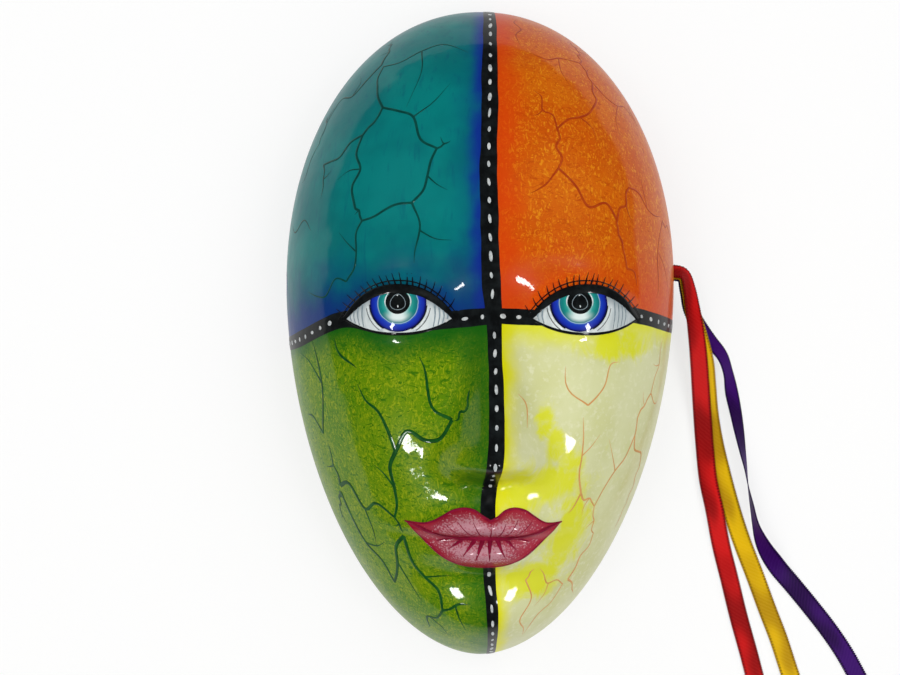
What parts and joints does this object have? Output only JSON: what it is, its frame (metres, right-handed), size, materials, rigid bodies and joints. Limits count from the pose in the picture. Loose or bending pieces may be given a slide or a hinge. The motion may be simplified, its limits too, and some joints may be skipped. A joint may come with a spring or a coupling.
{
  "type": "painted clay face mask",
  "caption": "Hollow egg-shaped clay face mask in quartered glossy colours with dashed bands, painted eyes and lips, and ribbon ties knotted through a temple hole.",
  "frame": {"origin": "middle of the mask's outline on the plane of its rim", "axes": "+X to the right of the face as seen from the front, +Y to the forehead, +Z out of the face; the mask lies on its rim"},
  "size_m": [0.2421, 0.3132, 0.075],
  "materials": {
    "bare_clay": "matt unglazed",
    "teal_lacquer": "gloss lacquer",
    "orange_lacquer": "gloss lacquer",
    "green_lacquer": "gloss lacquer",
    "yellow_lacquer": "gloss lacquer",
    "black_lacquer": "gloss lacquer",
    "white_lacquer": "gloss lacquer",
    "blue_lacquer": "gloss lacquer",
    "crimson_lacquer": "gloss lacquer",
    "red_satin": "satin weave",
    "yellow_satin": "satin weave",
    "purple_satin": "satin weave"
  },
  "bodies": {
    "root": {"clay_shell": "bare_clay", "teal_quarter": "teal_lacquer", "orange_quarter": "orange_lacquer", "green_quarter": "green_lacquer", "yellow_quarter": "yellow_lacquer", "nose_band": "black_lacquer", "left_eye_band": "black_lacquer", "right_eye_band": "black_lacquer", "left_eye_white": "white_lacquer", "right_eye_white": "white_lacquer", "left_iris": "blue_lacquer", "right_iris": "blue_lacquer", "left_pupil": "black_lacquer", "right_pupil": "black_lacquer", "left_lid": "black_lacquer", "right_lid": "black_lacquer", "upper_lip": "crimson_lacquer", "lower_lip": "crimson_lacquer", "ribbon_knot": "red_satin", "red_ribbon": "red_satin", "yellow_ribbon": "yellow_satin", "purple_ribbon": "purple_satin"}
  },
  "joints": []
}
